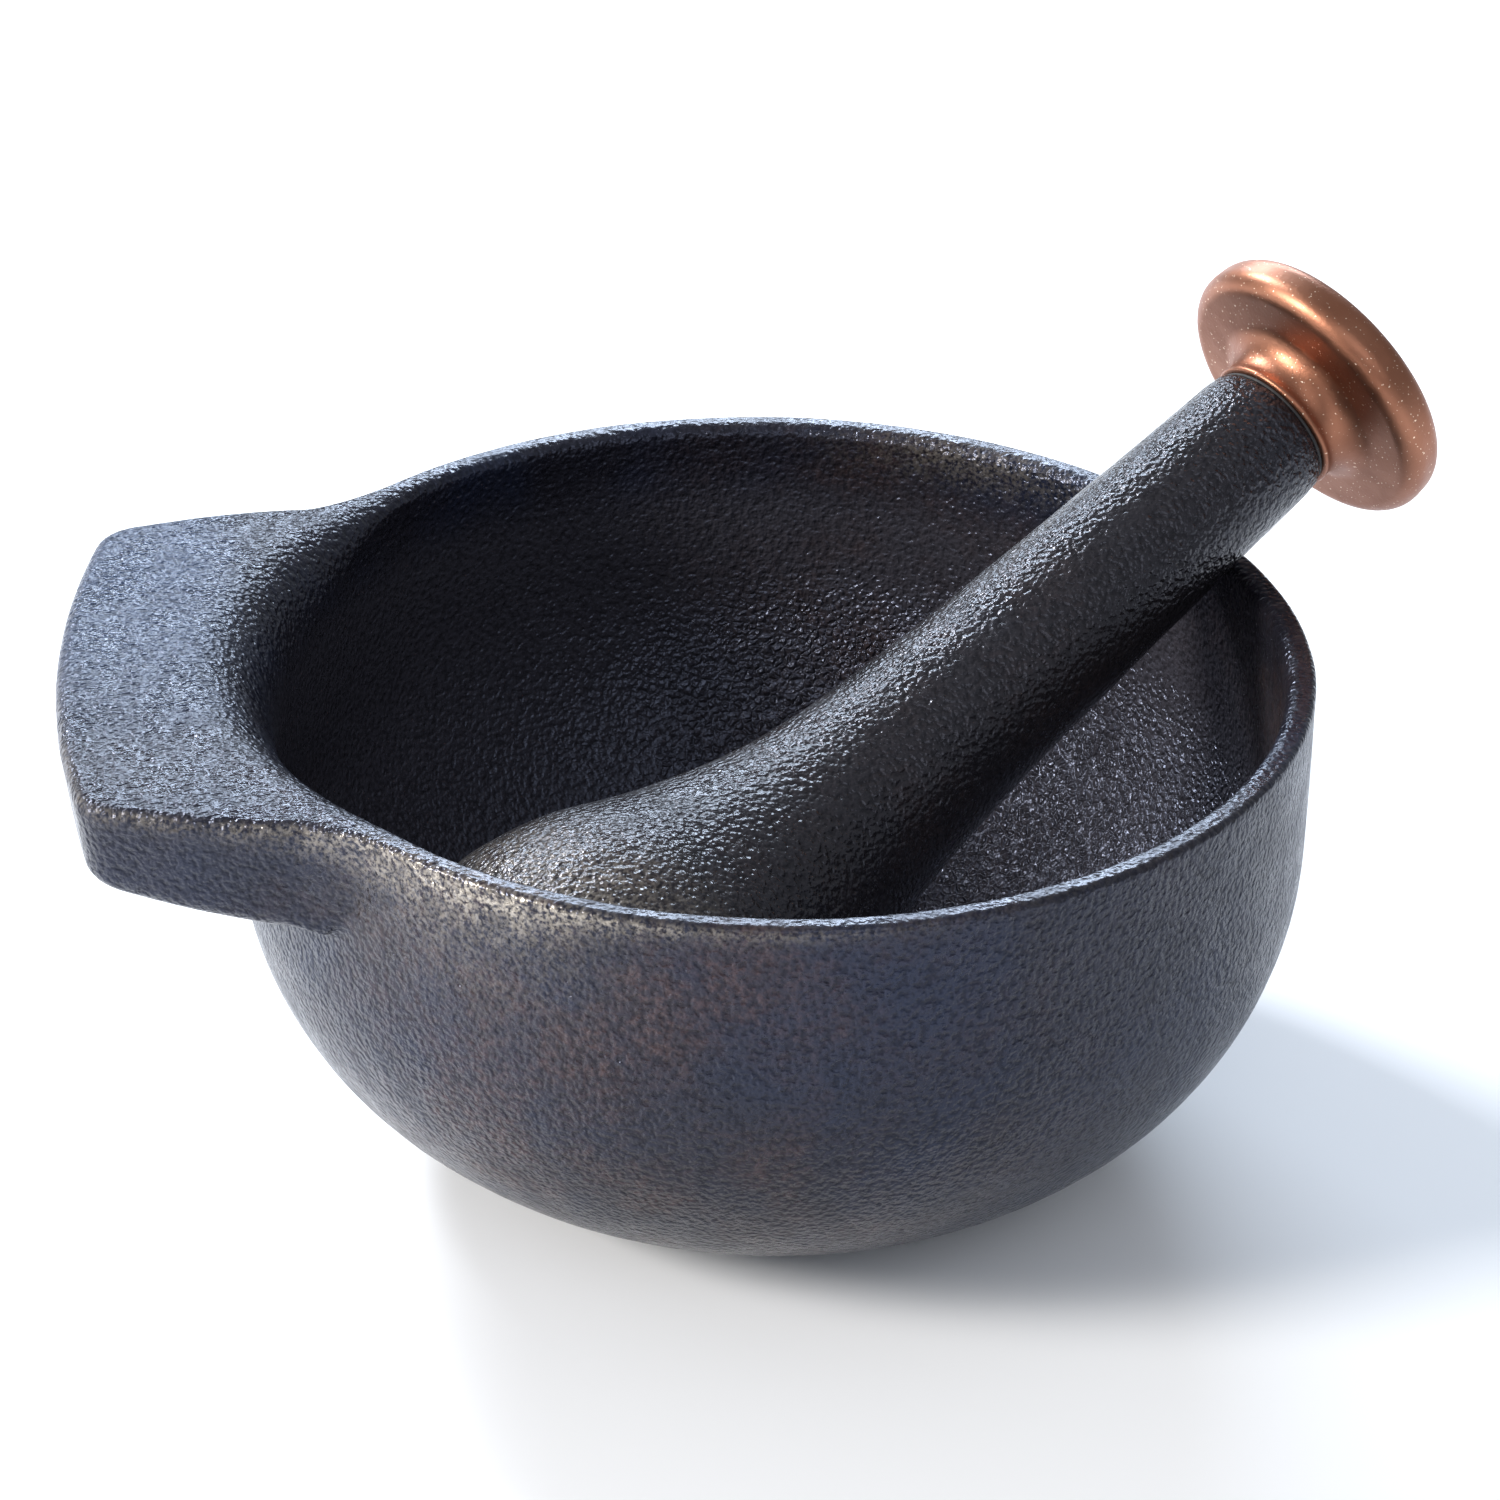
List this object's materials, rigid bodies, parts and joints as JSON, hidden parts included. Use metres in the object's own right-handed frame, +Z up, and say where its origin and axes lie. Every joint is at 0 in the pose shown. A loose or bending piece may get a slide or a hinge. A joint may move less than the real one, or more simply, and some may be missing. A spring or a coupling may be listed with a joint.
{
  "type": "mortar and pestle",
  "caption": "Cast-iron kitchen mortar with a wide tab handle and a loose iron pestle that ends in a copper-coloured knob.",
  "frame": {"origin": "centre of the mortar's flat foot, on the surface it stands on", "axes": "+Z up along the bowl's axis; the tab handle points to -X; the pestle leans towards +X and +Y"},
  "size_m": [0.1828, 0.14, 0.1077],
  "materials": {
    "mortar_iron": "rough cast skin, dark, seasoned",
    "pestle_iron": "rough cast skin, dark, seasoned",
    "knob_copper": "satin copper plating",
    "stud_steel": "rolled thread",
    "washer_rubber": "matt"
  },
  "bodies": {
    "mortar": {"mortar": "mortar_iron"},
    "pestle": {"pestle": "pestle_iron", "knob_stud": "stud_steel"},
    "washer": {"knob_washer": "washer_rubber"},
    "knob": {"pestle_knob": "knob_copper"}
  },
  "joints": [
    {"name": "pestle_lift", "type": "slide", "parent": "mortar", "child": "pestle", "axis": [0, 0, 1], "range_m": [0, 0.09]},
    {"name": "knob_travel", "type": "slide", "parent": "pestle", "child": "washer", "axis": [0.7342, 0.5472, 0.4019], "range_m": [0, 0.0094]},
    {"name": "knob_turn", "type": "hinge", "parent": "washer", "child": "knob", "pos_m": [0.0682, 0.0319, 0.085], "axis": [0.7342, 0.5472, 0.4019], "range_deg": [0, 2700]}
  ],
  "couplings": [
    {"joint": "knob_travel", "follows": "knob_turn", "m_per_rad": 0.00019894}
  ]
}
